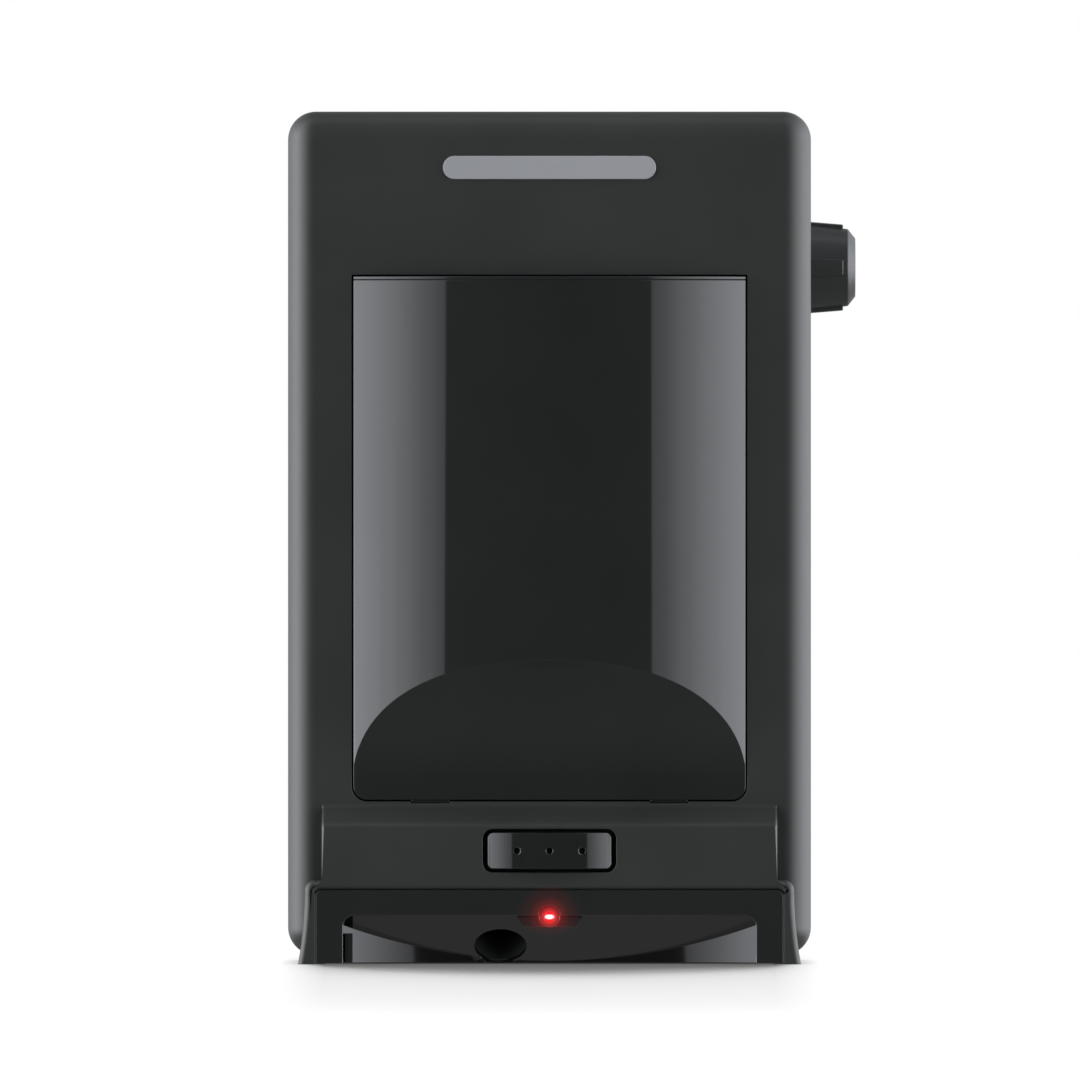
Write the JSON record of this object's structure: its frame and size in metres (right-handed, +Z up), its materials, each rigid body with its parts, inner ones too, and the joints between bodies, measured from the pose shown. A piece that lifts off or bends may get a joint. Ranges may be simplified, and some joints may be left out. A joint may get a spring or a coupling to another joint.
{
  "type": "touch-free floor vacuum",
  "caption": "Upright stationary floor vacuum: swept debris enters a low sensed mouth and collects in a slide-out smoked bin under a motor, with a twist-off side exhaust cap.",
  "frame": {"origin": "on the floor under the middle of the casing", "axes": "+Z up, +X towards the exhaust cap's side, -Y towards the front with the mouth and the bin"},
  "size_m": [0.2934, 0.2415, 0.44],
  "materials": {
    "casing": "satin",
    "base": "matte",
    "rubber": "matte",
    "bezel": "gloss",
    "mouth": "satin",
    "sensor_dark": "gloss",
    "led_red": "gloss",
    "circuit_board": "satin",
    "duct": "satin",
    "bay": "matte",
    "bin_smoke": "gloss",
    "bin_trim": "gloss",
    "filter_foam": "matte",
    "filter_paper": "matte",
    "fan_alloy": "satin",
    "motor_steel": "satin",
    "bearing_steel": "polished",
    "copper_winding": "satin",
    "cap_plastic": "satin",
    "button_gloss": "gloss",
    "light_pipe": "gloss",
    "spring_steel": "satin",
    "screw_steel": "satin",
    "badge": "satin"
  },
  "bodies": {
    "housing": {"front_shell": "casing", "rear_shell": "casing", "base_plate": "base", "foot_ring": "rubber", "base_shoe": "casing", "intake_bezel": "bezel", "intake_scoop": "mouth", "beam_window": "sensor_dark", "sensor_window": "sensor_dark", "status_led": "led_red", "sensor_board": "circuit_board", "mouth_socket": "duct", "floor_duct": "duct", "riser_duct": "duct", "bin_bay": "bay", "duct_seal": "rubber", "ceiling_seal": "rubber", "motor_plate": "base", "motor_mounts": "rubber", "fan_housing": "fan_alloy", "motor_can": "motor_steel", "stator": "motor_steel", "motor_bearings": "bearing_steel", "exhaust_port": "bay", "button_frame": "bay", "button_spring": "spring_steel", "control_board": "circuit_board", "start_switch": "bay", "switch_frame": "bay", "cord_inlet": "rubber", "carry_grip": "bay", "case_screws": "screw_steel", "front_badge": "badge"},
    "bin": {"bin_body": "bin_smoke", "bin_lid": "bin_trim", "bin_lid_seal": "rubber", "filter_holder": "duct", "bin_filter": "filter_foam"},
    "exhaust_cap": {"exhaust_cap": "cap_plastic", "cap_seal": "rubber", "exhaust_filter": "filter_paper"},
    "start_button": {"start_button": "button_gloss", "indicator_lights": "light_pipe"},
    "mode_switch": {"mode_switch": "cap_plastic"},
    "rotor": {"motor_shaft": "bearing_steel", "armature": "copper_winding", "fan_wheel": "fan_alloy"}
  },
  "joints": [
    {"name": "bin_slide", "type": "slide", "parent": "housing", "child": "bin", "axis": [0, -1, 0], "range_m": [0, 0.2]},
    {"name": "cap_turn", "type": "hinge", "parent": "housing", "child": "exhaust_cap", "pos_m": [0.1285, -0.01, 0.3599], "axis": [1, 0, 0], "range_deg": [0, 60]},
    {"name": "start_press", "type": "slide", "parent": "housing", "child": "start_button", "axis": [0, 1, 0], "range_m": [0, 0.002], "stiffness_N_per_m": 600, "springref_m": -0.001, "deforming": ["button_spring"]},
    {"name": "mode_rock", "type": "hinge", "parent": "housing", "child": "mode_switch", "pos_m": [0.078, 0.111, 0.052], "axis": [1, 0, 0], "range_deg": [-8, 8]},
    {"name": "motor_spin", "type": "hinge", "parent": "housing", "child": "rotor", "pos_m": [0, -0.02, 0.4], "axis": [0, 0, 1], "continuous": true}
  ]
}
